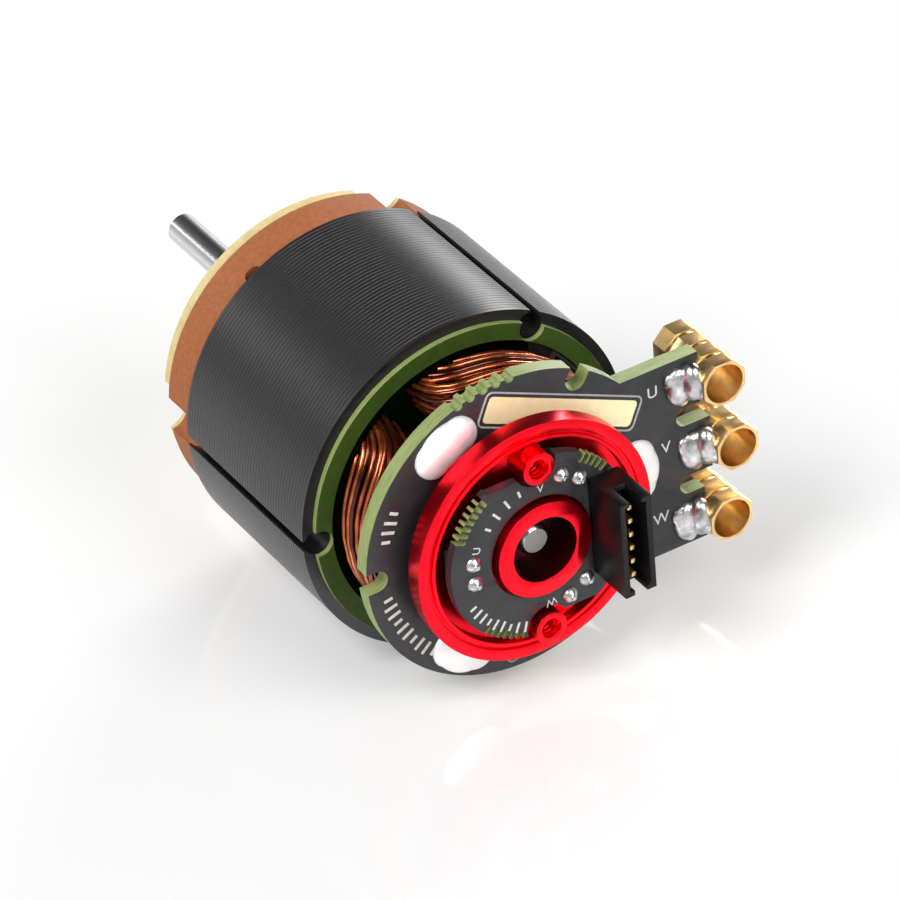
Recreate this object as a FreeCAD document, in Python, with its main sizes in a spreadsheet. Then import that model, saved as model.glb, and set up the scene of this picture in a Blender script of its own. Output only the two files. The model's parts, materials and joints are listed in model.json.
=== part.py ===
"""Sensored brushless motor core, without its can, as an assembly of separate pieces.

Frame: the origin is the centre of the stator stack on the motor axis. The axis is Y, the
output shaft points to +Y, the sensor end to -Y and the three power sockets to +X. +Z is up.
"""
import FreeCAD, Part
import math
import os

import Sketcher

Vector = FreeCAD.Vector
Rotation = FreeCAD.Rotation
Placement = FreeCAD.Placement

ALONG_Y = Rotation(Vector(1, 0, 0), -90)
TOOTH_ANGLES = (60, 180, 300)
SLOT_ANGLES = {"u": 120, "v": 0, "w": 240}

# Driving dimensions in millimetres, angles in degrees. Y places are measured from the
# middle of the stack, and "rear" depths are positive distances towards -Y.
SIZES = {
    "stack_radius": 17.6,
    "stack_half": 10.8,
    "iron_inner": 14.6,
    "tooth_width": 7.5,
    "shoe_outer": 8.7,
    "stator_bore": 7.1,
    "shoe_sweep": 98.0,
    "keyhole_radius": 1.35,
    "keyhole_centre": 16.1,
    "keyhole_mouth": 1.1,
    "liner_thickness": 0.28,
    "liner_overhang": 0.5,
    "coil_inner": 9.0,
    "coil_outer": 14.1,
    "coil_sweep": 113.0,
    "coil_rear": 17.3,
    "coil_front": 14.0,
    "insulator_outer": 16.5,
    "insulator_inner": 14.7,
    "insulator_thickness": 0.6,
    "frame_radius": 16.9,
    "frame_wall_inner": 14.9,
    "frame_front": 15.6,
    "frame_web": 1.2,
    "frame_boss": 6.5,
    "frame_notch": 1.8,
    "frame_vent": 0.9,
    "frame_vent_place": 11.5,
    "plate_radius": 16.5,
    "plate_notch": 2.7,
    "plate_thickness": 1.6,
    "plate_hole": 3.6,
    "board_rear": 19.6,
    "board_thickness": 1.6,
    "board_radius": 16.0,
    "board_hole": 8.8,
    "ear_reach": 20.6,
    "ear_half_width": 10.5,
    "centre_finger_reach": 21.6,
    "finger_slot_width": 2.0,
    "finger_slot_place": 3.85,
    "finger_slot_start": 18.9,
    "rim_slot_width": 2.2,
    "rim_slot_depth": 2.2,
    "castellation_radius": 0.45,
    "lead_radius": 1.1,
    "lead_place": 13.4,
    "lead_hole": 1.3,
    "solder_length": 7.0,
    "solder_width": 4.6,
    "solder_rise": 1.25,
    "socket_bore": 2.0,
    "socket_radius": 2.45,
    "socket_groove": 0.22,
    "socket_rear": 22.1,
    "socket_length": 8.6,
    "socket_outer_x": 21.85,
    "socket_outer_z": 7.7,
    "socket_middle_x": 22.95,
    "flange_radius": 12.55,
    "flange_rear": 23.05,
    "flange_front": 21.2,
    "flange_groove_outer": 11.4,
    "flange_groove_inner": 11.1,
    "flange_groove_depth": 0.35,
    "recess_radius": 10.7,
    "recess_floor": 21.9,
    "ledge_radius": 6.1,
    "hub_rear": 24.7,
    "hub_radius": 5.0,
    "hub_bore": 3.37,
    "carrier_body": 8.5,
    "carrier_front": 16.6,
    "screw_boss": 1.65,
    "screw_hole": 1.025,
    "screw_place": 9.0,
    "screw_depth": 3.2,
    "hall_slot_width": 4.5,
    "hall_slot_inner": 5.9,
    "sensor_board_rear": 24.0,
    "sensor_board_thickness": 1.0,
    "sensor_board_radius": 9.7,
    "sensor_board_hole": 5.35,
    "boss_clearance": 2.15,
    "bay_floor": 8.0,
    "bay_reach": 5.2,
    "comb_slot": 0.22,
    "comb_depth": 0.75,
    "comb_pitch": 4.4,
    "hall_place": 7.2,
    "hall_width": 4.0,
    "hall_depth": 1.5,
    "hall_height": 3.2,
    "hall_rear": 20.8,
    "leg_size": 0.42,
    "leg_spacing": 2.2,
    "leg_hole": 0.4,
    "joint_dome": 0.8,
    "joint_rise": 0.55,
    "port_inner_x": 5.3,
    "port_depth_x": 3.4,
    "port_width": 10.5,
    "port_height": 5.5,
    "port_wall": 0.6,
    "port_floor": 1.2,
    "port_end_slot": 1.3,
    "pin_count": 6,
    "pin_pitch": 1.5,
    "pin_size": 0.5,
    "pin_gap": 0.02,
    "pin_recess": 1.1,
    "shaft_radius": 1.5875,
    "shaft_rear": 23.0,
    "shaft_front": 43.6,
    "shaft_chamfer": 0.35,
    "relief_rear": 17.3,
    "relief_width": 0.8,
    "relief_depth": 0.2,
    "magnet_radius": 6.3,
    "magnet_rear": 12.5,
    "magnet_front": 9.5,
    "sleeve_radius": 6.6,
    "sleeve_gap": 0.02,
    "bond_gap": 0.0125,
    "balance_radius": 5.9,
    "balance_front": 1.4,
    "balance_rear": 1.5,
    "spacer_radius": 2.3,
    "bearing_outer": 4.7625,
    "bearing_width": 3.967,
    "bearing_pitch": 3.175,
    "ball_radius": 0.78,
    "ball_count": 7,
    "groove_radius": 0.81,
    "inner_ring_radius": 2.75,
    "outer_ring_inner": 3.6,
    "cage_inner": 2.86,
    "cage_outer": 3.49,
    "cage_width": 2.2,
    "cage_window": 0.84,
    "shield_thickness": 0.22,
    "shield_inset": 0.12,
    "shield_inner": 2.85,
}

doc = FreeCAD.newDocument("SensoredMotorCore")
sheet = doc.addObject("Spreadsheet::Sheet", "Sizes")
for row, (alias, value) in enumerate(SIZES.items(), start=1):
    sheet.set(f"A{row}", alias.replace("_", " "))
    sheet.set(f"B{row}", str(value))
    sheet.setAlias(f"B{row}", alias)
doc.recompute()


class Dim:
    """A size, both as a number and as the sheet expression that it stands for."""

    def __init__(self, value, text):
        self.value = value
        self.text = text

    def __add__(self, other):
        return Dim(self.value + number(other), f"({self.text} + {words(other)})")

    def __sub__(self, other):
        return Dim(self.value - number(other), f"({self.text} - {words(other)})")

    def __mul__(self, other):
        return Dim(self.value * number(other), f"({self.text} * {words(other)})")

    def __truediv__(self, other):
        return Dim(self.value / number(other), f"({self.text} / {words(other)})")

    def __neg__(self):
        return Dim(-self.value, f"(0 - {self.text})")


def number(size):
    return size.value if isinstance(size, Dim) else float(size)


def words(size):
    return size.text if isinstance(size, Dim) else f"({float(size)})"


def size(alias):
    return Dim(float(SIZES[alias]), f"Sizes.{alias}")


def bind(item, prop, value):
    """Tie a property to the sheet, so that the item follows its cells."""
    item.setExpression(prop, words(value))


def place_on_ring(radius, angle):
    """X and Z of a point at an angle from +X towards +Z."""
    return radius * math.cos(math.radians(angle)), radius * math.sin(math.radians(angle))


def outward(angle):
    """The direction straight out from the motor axis at an angle."""
    share_x, share_z = place_on_ring(1, angle)
    return Vector(share_x, 0, share_z)


# ---------------------------------------------------------------- primitives and booleans

def cylinder(name, radius, rear, front, x=0, z=0):
    """A round bar along Y from y = rear to y = front, with its axis at x, z."""
    bar = doc.addObject("Part::Cylinder", name)
    bar.Placement = Placement(Vector(), ALONG_Y)
    bind(bar, "Radius", radius)
    bind(bar, "Height", as_dim(front) - rear)
    bind(bar, "Placement.Base.x", x)
    bind(bar, "Placement.Base.y", rear)
    bind(bar, "Placement.Base.z", z)
    return bar


def as_dim(value):
    return value if isinstance(value, Dim) else Dim(float(value), f"({float(value)})")


def sector(name, radius, rear, front, sweep, middle):
    """A pie-shaped bar along Y whose middle lies at an angle from +X towards +Z."""
    bar = cylinder(name, radius, rear, front)
    bar.Placement.Rotation = Rotation(Vector(0, 1, 0), -middle - number(sweep) / 2) * ALONG_Y
    bind(bar, "Angle", sweep)
    return bar


def block(name, low, high, angle=0):
    """A box between two corners, turned about the motor axis by an angle towards +Z."""
    box = doc.addObject("Part::Box", name)
    low = [as_dim(value) for value in low]
    high = [as_dim(value) for value in high]
    for prop, start, end in zip(("Length", "Width", "Height"), low, high):
        bind(box, prop, end - start)
    turn = math.radians(angle)
    box.Placement.Rotation = Rotation(Vector(0, 1, 0), -angle)
    bind(box, "Placement.Base.x", low[0] * math.cos(turn) - low[2] * math.sin(turn))
    bind(box, "Placement.Base.y", low[1])
    bind(box, "Placement.Base.z", low[0] * math.sin(turn) + low[2] * math.cos(turn))
    return box


def fuse(name, pieces):
    joined = doc.addObject("Part::MultiFuse", name)
    joined.Shapes = pieces
    joined.Refine = True
    return joined


def group(name, pieces):
    """Separate solids that share one node."""
    set_of_pieces = doc.addObject("Part::Compound", name)
    set_of_pieces.Links = pieces
    return set_of_pieces


def cut(name, base, tools):
    tool = tools[0] if len(tools) == 1 else fuse(name + "_tools", tools)
    result = doc.addObject("Part::Cut", name)
    result.Base = base
    result.Tool = tool
    result.Refine = True
    return result


def tube(name, outer, inner, rear, front):
    return cut(name, cylinder(name + "_outside", outer, rear, front),
               [cylinder(name + "_inside", inner, as_dim(rear) - 1, as_dim(front) + 1)])


# ---------------------------------------------------------------------- sketched bodies

def origin_plane(body, role):
    return next(item for item in body.Origin.OriginFeatures if item.Role == role)


def sketch_on(body, name, role, depth=0):
    """A sketch on an origin plane, moved along that plane's normal by depth."""
    sketch = body.newObject("Sketcher::SketchObject", name)
    sketch.AttachmentSupport = [(origin_plane(body, role), "")]
    sketch.MapMode = "FlatFace"
    bind(sketch, "AttachmentOffset.Base.z", depth)
    return sketch


def tie(sketch, edge, point, kind, value):
    """Hold one point of an edge at its distance from the sketch's origin."""
    amount = number(value)
    if amount == 0:
        axis = -2 if kind == "DistanceX" else -1
        sketch.addConstraint(Sketcher.Constraint("PointOnObject", edge, point, axis))
        return
    ends = (-1, 1, edge, point) if amount > 0 else (edge, point, -1, 1)
    index = sketch.addConstraint(Sketcher.Constraint(kind, *ends, abs(amount)))
    sketch.setExpression(f"Constraints[{index}]", words(value if amount > 0 else -as_dim(value)))


def draw_outline(sketch, corners):
    """Straight edges through the corners, each corner tied to the sheet."""
    points = [Vector(number(x), number(y), 0) for x, y in corners]
    count = len(points)
    for index in range(count):
        sketch.addGeometry(Part.LineSegment(points[index], points[(index + 1) % count]), False)
    for index in range(count):
        sketch.addConstraint(Sketcher.Constraint("Coincident", index, 2, (index + 1) % count, 1))
    for index, (x, y) in enumerate(corners):
        tie(sketch, index, 1, "DistanceX", x)
        tie(sketch, index, 1, "DistanceY", y)


def draw_circle(sketch, radius, x=0, y=0):
    centre = Vector(number(x), number(y), 0)
    index = sketch.addGeometry(Part.Circle(centre, Vector(0, 0, 1), number(radius)), False)
    limit = sketch.addConstraint(Sketcher.Constraint("Radius", index, number(radius)))
    sketch.setExpression(f"Constraints[{limit}]", words(radius))
    tie(sketch, index, 3, "DistanceX", x)
    tie(sketch, index, 3, "DistanceY", y)


def turned(name, profile):
    """A body turned about the motor axis from corners given as (radius, y)."""
    body = doc.addObject("PartDesign::Body", name)
    sketch = sketch_on(body, name + "_profile", "XY_Plane")
    draw_outline(sketch, profile)
    revolution = body.newObject("PartDesign::Revolution", name + "_turn")
    revolution.Profile = sketch
    revolution.ReferenceAxis = (sketch, ["V_Axis"])
    revolution.Angle = 360
    sketch.Visibility = False
    doc.recompute()
    return body


def padded_disc(name, rear, thickness, radius, hole):
    """A flat ring whose rear face is at y = -rear, padded towards +Y."""
    body = doc.addObject("PartDesign::Body", name)
    sketch = sketch_on(body, name + "_outline", "XZ_Plane", rear)
    draw_circle(sketch, radius)
    draw_circle(sketch, hole)
    pad = body.newObject("PartDesign::Pad", name + "_pad")
    pad.Profile = sketch
    pad.Reversed = True
    bind(pad, "Length", thickness)
    doc.recompute()
    return body


def pocket(body, name, rear, circles, depth=None):
    """Round pockets along +Y that start at y = -rear. With no depth they go right through."""
    before = body.Shape.Volume
    sketch = sketch_on(body, name + "_sketch", "XZ_Plane", rear)
    for radius, x, z in circles:
        draw_circle(sketch, radius, x, z)
    hollow = body.newObject("PartDesign::Pocket", name)
    hollow.Profile = sketch
    if depth is None:
        hollow.Type = "ThroughAll"
    else:
        bind(hollow, "Length", depth)
    doc.recompute()
    if body.Shape.Volume > before - 1e-6:
        raise RuntimeError(f"{name} removes nothing")
    return hollow


def repeat_round(body, feature, count):
    """Repeat a feature evenly about the motor axis."""
    pattern = body.newObject("PartDesign::PolarPattern", feature.Name + "_ring")
    pattern.Originals = [feature]
    pattern.Axis = (feature.Profile[0], ["N_Axis"])
    pattern.Angle = 360
    pattern.Occurrences = count
    body.Tip = pattern
    doc.recompute()
    return pattern


# ------------------------------------------------------------------------------- stator

def tooth_blocks(name, width, reach, rear, front):
    """One box for each tooth, from the axis out to reach."""
    half = width / 2
    return [block(f"{name}_{angle}", (0, rear, -half), (reach, front, half), angle)
            for angle in TOOTH_ANGLES]


def stator_core():
    """Laminated ring with three teeth, pole shoes and a keyhole groove behind each tooth."""
    half = size("stack_half")
    ring = tube("core_ring", size("stack_radius"), size("iron_inner"), -half, half)
    teeth = tooth_blocks("core_tooth", size("tooth_width"), size("iron_inner") + 0.5, -half, half)
    shoes = [sector(f"core_shoe_{angle}", size("shoe_outer"), -half, half,
                    size("shoe_sweep"), angle) for angle in TOOTH_ANGLES]
    body = fuse("core_body", [ring] + teeth + shoes)
    bore = cylinder("core_bore", size("stator_bore"), -half - 1, half + 1)
    grooves = []
    for angle in TOOTH_ANGLES:
        x, z = place_on_ring(size("keyhole_centre").value, angle)
        share_x, share_z = place_on_ring(1, angle)
        centre = size("keyhole_centre")
        grooves.append(cylinder(f"core_keyhole_{angle}", size("keyhole_radius"), -half - 1,
                                half + 1, centre * share_x, centre * share_z))
        mouth = size("keyhole_mouth") / 2
        grooves.append(block(f"core_mouth_{angle}", (centre, -half - 1, -mouth),
                             (size("stack_radius") + 1, half + 1, mouth), angle))
    return cut("stator_core", body, [bore] + grooves)


def slot_liners():
    """Three insulating channels, one along the walls of each slot."""
    reach = size("stack_half") + size("liner_overhang")
    gap = 0.04
    outer = size("iron_inner") - gap
    wall = size("liner_thickness")
    outside = cut("liner_outside", tube("liner_fill", outer, size("shoe_outer") + gap, -reach, reach),
                  tooth_blocks("liner_tooth", size("tooth_width") + 2 * gap, outer + 1,
                               -reach - 1, reach + 1))
    inside = cut("liner_inside",
                 tube("liner_hollow", outer - wall, size("stator_bore"), -reach - 1, reach + 1),
                 tooth_blocks("liner_wide_tooth", size("tooth_width") + 2 * gap + wall * 2,
                              outer + 1, -reach - 2, reach + 2))
    return cut("slot_liners", outside, [inside])


def coil(phase, angle):
    """One winding round a tooth, as the block of copper that its wires fill."""
    name = f"coil_{phase}"
    rear = -size("coil_rear")
    front = size("coil_front")
    body = sector(name + "_sector", size("coil_outer"), rear, front, size("coil_sweep"), angle)
    bore = cylinder(name + "_bore", size("coil_inner"), rear - 1, front + 1)
    half = size("tooth_width") / 2 + size("liner_thickness") + 0.12
    reach = size("stack_half") + size("liner_overhang") + 0.05
    window = block(name + "_window", (0, -reach, -half), (size("iron_inner"), reach, half), angle)
    return cut(name, body, [bore, window])


def rear_insulator():
    """Thin green ring on the rear lamination, notched at the three grooves."""
    rear = size("stack_half") + size("insulator_thickness")
    body = padded_disc("rear_insulator", rear, size("insulator_thickness"),
                       size("insulator_outer"), size("insulator_inner"))
    notch = pocket(body, "insulator_notch", rear,
                   [(size("keyhole_radius"), -size("keyhole_centre"), 0)])
    repeat_round(body, notch, 3)
    return body


def front_frame():
    """Moulded ring on the front of the stack, with a web, a bearing boss and three vents."""
    back = size("stack_half")
    front = size("frame_front")
    web = front - size("frame_web")
    boss_back = front - size("bearing_width")
    body = turned("frame_body", [
        (size("frame_wall_inner"), back),
        (size("frame_radius"), back),
        (size("frame_radius"), front),
        (size("bearing_outer"), front),
        (size("bearing_outer"), boss_back),
        (size("frame_boss"), boss_back),
        (size("frame_boss"), web),
        (size("frame_wall_inner"), web),
    ])
    notch = pocket(body, "frame_notch_hole", -back,
                   [(size("frame_notch"), -size("frame_radius"), 0)])
    repeat_round(body, notch, 3)
    vents = []
    for angle in SLOT_ANGLES.values():
        vent = doc.addObject("Part::Cylinder", f"frame_vent_{angle}")
        vent.Placement = Placement(Vector(), Rotation(Vector(0, 0, 1), outward(angle)))
        bind(vent, "Radius", size("frame_vent"))
        bind(vent, "Height", size("frame_radius") + 1)
        bind(vent, "Placement.Base.y", size("frame_vent_place"))
        vents.append(vent)
    return cut("front_frame", body, vents)


def front_plate():
    """Cream insulating disc, notched like the frame, that keeps the front bearing in."""
    back = size("frame_front")
    body = padded_disc("front_plate", -back, size("plate_thickness"), size("plate_radius"),
                       size("plate_hole"))
    notch = pocket(body, "plate_notch_hole", -back,
                   [(size("plate_notch"), -size("frame_radius"), 0)])
    repeat_round(body, notch, 3)
    return body


# --------------------------------------------------------------------------- power board

def rim_slots(radius, rear, front):
    """Round-ended slots cut into the board's rim in line with the stack's grooves."""
    width = size("rim_slot_width") / 2
    start = size("board_radius") - size("rim_slot_depth") + width
    cuts = []
    for angle in TOOTH_ANGLES:
        share_x, share_z = place_on_ring(1, angle)
        cuts.append(cylinder(f"rim_slot_end_{angle}", width, rear, front,
                             start * share_x, start * share_z))
        cuts.append(block(f"rim_slot_{angle}", (start, rear, -width),
                          (radius + 2, front, width), angle))
    return cuts


def power_board():
    """Round board with an ear of three fingers that carry the power sockets."""
    rear = -size("board_rear")
    front = rear + size("board_thickness")
    back, ahead = rear - 1, front + 1
    half = size("ear_half_width")
    disc = cylinder("board_disc", size("board_radius"), rear, front)
    ear = block("board_ear", (size("board_hole"), rear, -half), (size("ear_reach"), front, half))
    place = size("finger_slot_place")
    middle = block("board_middle_finger", (size("board_hole"), rear, -place),
                   (size("centre_finger_reach"), front, place))
    tools = [cylinder("board_centre", size("board_hole"), back, ahead)]
    tools += rim_slots(size("board_radius"), back, ahead)
    slot = size("finger_slot_width") / 2
    for side, sign in (("upper", 1), ("lower", -1)):
        centre = place * sign
        start = size("finger_slot_start")
        tools.append(cylinder(f"finger_slot_end_{side}", slot, back, ahead, start, centre))
        tools.append(block(f"finger_slot_{side}", (start, back, centre - slot),
                           (size("centre_finger_reach") + 1, ahead, centre + slot)))
    for phase, (x, z) in socket_places().items():
        tools.append(cylinder(f"board_socket_{phase}", size("socket_radius") + 0.02,
                              back, ahead, x, z))
    for phase, angle in SLOT_ANGLES.items():
        share_x, share_z = place_on_ring(1, angle)
        tools.append(cylinder(f"board_lead_{phase}", size("lead_hole"), back, ahead,
                              size("lead_place") * share_x, size("lead_place") * share_z))
    for step in range(5):
        share_x, share_z = place_on_ring(1, 88 + 5 * step)
        tools.append(cylinder(f"castellation_{step}", size("castellation_radius"), back, ahead,
                              size("board_radius") * share_x, size("board_radius") * share_z))
    return cut("power_board", fuse("board_body", [disc, ear, middle]), tools)


def socket_places():
    outer_x, outer_z = size("socket_outer_x"), size("socket_outer_z")
    return {"u": (outer_x, outer_z), "v": (size("socket_middle_x"), as_dim(0)),
            "w": (outer_x, -outer_z)}


def power_socket(phase, x, z):
    """Eight-sided socket tube with shallow turned grooves and a round bore."""
    name = f"socket_{phase}"
    rear = -size("socket_rear")
    front = rear + size("socket_length")
    tube_body = doc.addObject("Part::Prism", name + "_body")
    tube_body.Polygon = 8
    tube_body.Placement = Placement(Vector(), Rotation(Vector(0, 1, 0), 22.5) * ALONG_Y)
    bind(tube_body, "Circumradius", size("socket_radius"))
    bind(tube_body, "Height", front - rear)
    bind(tube_body, "Placement.Base.x", x)
    bind(tube_body, "Placement.Base.y", rear)
    bind(tube_body, "Placement.Base.z", z)
    tools = [cylinder(name + "_bore", size("socket_bore"), rear - 1, front + 1, x, z)]
    for index, share in enumerate((0.22, 0.48, 0.74)):
        middle = rear + size("socket_length") * share
        ring = cylinder(f"{name}_ring_{index}", size("socket_radius") + 1, middle - 0.25,
                        middle + 0.25, x, z)
        core = cylinder(f"{name}_core_{index}", size("socket_radius") - size("socket_groove"),
                        middle - 1, middle + 1, x, z)
        tools.append(cut(f"{name}_groove_{index}", ring, [core]))
    return cut(name, tube_body, tools)


def phase_leads():
    """Three bundled winding ends that rise from the coils through the board."""
    rear = -size("board_rear") - 0.3
    front = -size("coil_rear") - 0.02
    leads = []
    for phase, angle in SLOT_ANGLES.items():
        share_x, share_z = place_on_ring(1, angle)
        place = size("lead_place")
        leads.append(cylinder(f"lead_{phase}", size("lead_radius"), rear, front,
                              place * share_x, place * share_z))
    return group("phase_leads", leads)


def solder_dome(name, x, z, along, across, rise, angle, surface):
    """Half an ellipsoid that stands on a board face and points to -Y."""
    dome = doc.addObject("Part::Ellipsoid", name + "_dome")
    dome.Placement = Placement(Vector(), Rotation(Vector(0, 1, 0), -angle) * ALONG_Y)
    bind(dome, "Radius1", rise)
    bind(dome, "Radius2", across)
    bind(dome, "Radius3", along)
    bind(dome, "Placement.Base.x", x)
    bind(dome, "Placement.Base.y", surface)
    bind(dome, "Placement.Base.z", z)
    reach = number(along) + 1
    x_value, z_value = number(x), number(z)
    lower = block(name + "_trim", (x_value - reach, surface, z_value - reach),
                  (x_value + reach, as_dim(surface) + number(rise) + 1, z_value + reach))
    return cut(name, dome, [lower])


def phase_solder():
    """Solder domes over the three winding ends."""
    domes = []
    surface = -size("board_rear")
    place = size("lead_place")
    for phase, angle in SLOT_ANGLES.items():
        share_x, share_z = place_on_ring(1, angle)
        dome = solder_dome(f"phase_dome_{phase}", place * share_x, place * share_z,
                           size("solder_length") / 2, size("solder_width") / 2,
                           size("solder_rise"), angle, surface)
        lead = cylinder(f"phase_dome_hole_{phase}", size("lead_radius") + 0.01, surface - 0.31,
                        surface + 1, place * share_x, place * share_z)
        domes.append(cut(f"phase_joint_{phase}", dome, [lead]))
    return group("phase_solder", domes)


def socket_solder():
    """Solder that runs from each finger of the board on to the side of its socket."""
    fillets = []
    surface = -size("board_rear")
    for phase, (x, z) in socket_places().items():
        reach = size("socket_radius")
        dome = solder_dome(f"socket_dome_{phase}", x - reach - 0.6, z, reach * 0.95,
                           size("socket_radius") * 0.8, size("solder_rise") * 1.6, 0, surface)
        clear = cylinder(f"socket_dome_clear_{phase}", reach + 0.02, surface - 4, surface + 1, x, z)
        fillets.append(cut(f"socket_joint_{phase}", dome, [clear]))
    return group("socket_solder", fillets)


# ------------------------------------------------------------------------ sensor carrier

def bearing_carrier():
    """Turned end piece: bearing seat, hub ring, flange and two tapped bosses."""
    seat_front = -size("carrier_front")
    seat_rear = seat_front - size("bearing_width") - 0.03
    floor = -size("recess_floor")
    face = -size("flange_rear")
    groove = face + size("flange_groove_depth")
    body = turned("bearing_carrier", [
        (size("bearing_outer") + 0.01, seat_front),
        (size("carrier_body"), seat_front),
        (size("carrier_body"), -size("flange_front")),
        (size("flange_radius"), -size("flange_front")),
        (size("flange_radius"), face),
        (size("flange_groove_outer"), face),
        (size("flange_groove_outer"), groove),
        (size("flange_groove_inner"), groove),
        (size("flange_groove_inner"), face),
        (size("recess_radius"), face),
        (size("recess_radius"), floor),
        (size("ledge_radius"), floor),
        (size("ledge_radius"), -size("sensor_board_rear") + size("sensor_board_thickness")),
        (size("hub_radius"), -size("sensor_board_rear") + size("sensor_board_thickness")),
        (size("hub_radius"), -size("hub_rear")),
        (size("hub_bore"), -size("hub_rear")),
        (size("hub_bore"), seat_rear),
        (size("bearing_outer") + 0.01, seat_rear),
    ])
    bosses = sketch_on(body, "boss_sketch", "XZ_Plane", size("recess_floor"))
    for side in (1, -1):
        draw_circle(bosses, size("screw_boss"), 0, size("screw_place") * side)
    pad = body.newObject("PartDesign::Pad", "boss_pad")
    pad.Profile = bosses
    bind(pad, "Length", size("hub_rear") - size("recess_floor"))
    doc.recompute()
    pocket(body, "boss_holes", size("hub_rear"),
           [(size("screw_hole"), 0, size("screw_place")),
            (size("screw_hole"), 0, -size("screw_place"))], size("screw_depth"))
    windows = sketch_on(body, "hall_window_sketch", "XZ_Plane", size("recess_floor") + 0.5)
    half = size("hall_slot_width") / 2
    draw_outline(windows, [(-size("carrier_body") - 0.5, -half), (-size("hall_slot_inner"), -half),
                           (-size("hall_slot_inner"), half), (-size("carrier_body") - 0.5, half)])
    window = body.newObject("PartDesign::Pocket", "hall_window")
    window.Profile = windows
    window.Type = "ThroughAll"
    doc.recompute()
    repeat_round(body, window, 3)
    return body


def leg_places():
    """X and Z of the six sensor legs, two behind each tooth."""
    half = size("leg_spacing").value / 2
    places = []
    for angle in TOOTH_ANGLES:
        turn = math.radians(angle)
        for side in (-half, half):
            along = size("hall_place")
            places.append((along * math.cos(turn) - side * math.sin(turn),
                           along * math.sin(turn) + side * math.cos(turn)))
    return places


def comb(first, count, back, ahead):
    """Narrow round-ended slots in the rim of the sensor board, like the teeth of a comb."""
    slot = size("comb_slot")
    start = size("sensor_board_radius") - size("comb_depth")
    tools = []
    for step in range(count):
        angle = first + SIZES["comb_pitch"] * step
        share_x, share_z = place_on_ring(1, angle)
        name = f"comb_{first}_{step}"
        tools.append(cylinder(name + "_end", slot, back, ahead, start * share_x, start * share_z))
        tools.append(block(name, (start, back, -slot),
                           (size("sensor_board_radius") + 1, ahead, slot), angle))
    return tools


def boss_bays(back, ahead):
    """Room in the rim for both bosses, each with a straight bay on one side."""
    room = size("boss_clearance")
    place = size("screw_place")
    past = size("sensor_board_radius") + 1
    floor = size("bay_floor")
    reach = size("bay_reach")
    return [
        cylinder("boss_room_upper", room, back, ahead, 0, place),
        cylinder("boss_room_lower", room, back, ahead, 0, -place),
        block("boss_mouth_upper", (-room, back, place), (room, ahead, past)),
        block("boss_mouth_lower", (-room, back, -past), (room, ahead, -place)),
        block("bay_upper", (-reach, back, floor), (0, ahead, past)),
        block("bay_lower", (0, back, -past), (reach, ahead, -floor)),
    ]


def sensor_board():
    """Small ring-shaped board with combs along its rim and room for both bosses."""
    rear = -size("sensor_board_rear")
    front = rear + size("sensor_board_thickness")
    back, ahead = rear - 1, front + 1
    disc = tube("sensor_disc", size("sensor_board_radius"), size("sensor_board_hole"), rear, front)
    tools = boss_bays(back, ahead)
    for first, count in ((128, 7), (226, 7), (36, 6)):
        tools += comb(first, count, back, ahead)
    for index, (x, z) in enumerate(leg_places()):
        tools.append(cylinder(f"leg_hole_{index}", size("leg_hole"), back, ahead, x, z))
    for index, z in enumerate(pin_rows()):
        tools.append(cylinder(f"pin_hole_{index}", size("leg_hole"), back, ahead, pin_x(), z))
    return cut("sensor_board", disc, tools)


def hall_sensors():
    """Three sensor packages in the carrier's windows, each with two legs."""
    rear = -size("hall_rear")
    front = rear + size("hall_height")
    end = -size("sensor_board_rear") - 0.2
    sensors = []
    half = size("hall_width") / 2
    leg = size("leg_size") / 2
    for angle in TOOTH_ANGLES:
        low = size("hall_place") - size("hall_depth") / 2
        pieces = [block(f"hall_body_{angle}", (low, rear, -half),
                        (low + size("hall_depth"), front, half), angle)]
        for side, sign in (("a", 1), ("b", -1)):
            across = size("leg_spacing") / 2 * sign
            pieces.append(block(f"hall_leg_{angle}_{side}",
                                (size("hall_place") - leg, end, across - leg),
                                (size("hall_place") + leg, rear + 0.5, across + leg), angle))
        sensors.append(fuse(f"hall_{angle}", pieces))
    return group("hall_sensors", sensors)


def sensor_solder():
    """Six small solder domes over the sensor legs."""
    surface = -size("sensor_board_rear")
    domes = []
    for index, (x, z) in enumerate(leg_places()):
        dome = solder_dome(f"leg_dome_{index}", x, z, size("joint_dome"), size("joint_dome"),
                           size("joint_rise"), 0, surface)
        hole = cylinder(f"leg_dome_hole_{index}", size("leg_size") * 0.72, surface - 0.21,
                        surface + 1, x, z)
        domes.append(cut(f"leg_joint_{index}", dome, [hole]))
    return group("sensor_solder", domes)


def pin_x():
    return size("port_inner_x") + size("port_depth_x") / 2


def pin_rows():
    """Z of each pin, spread evenly about the middle of the housing."""
    count = int(SIZES["pin_count"])
    return [size("pin_pitch") * (index - (count - 1) / 2) for index in range(count)]


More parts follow.
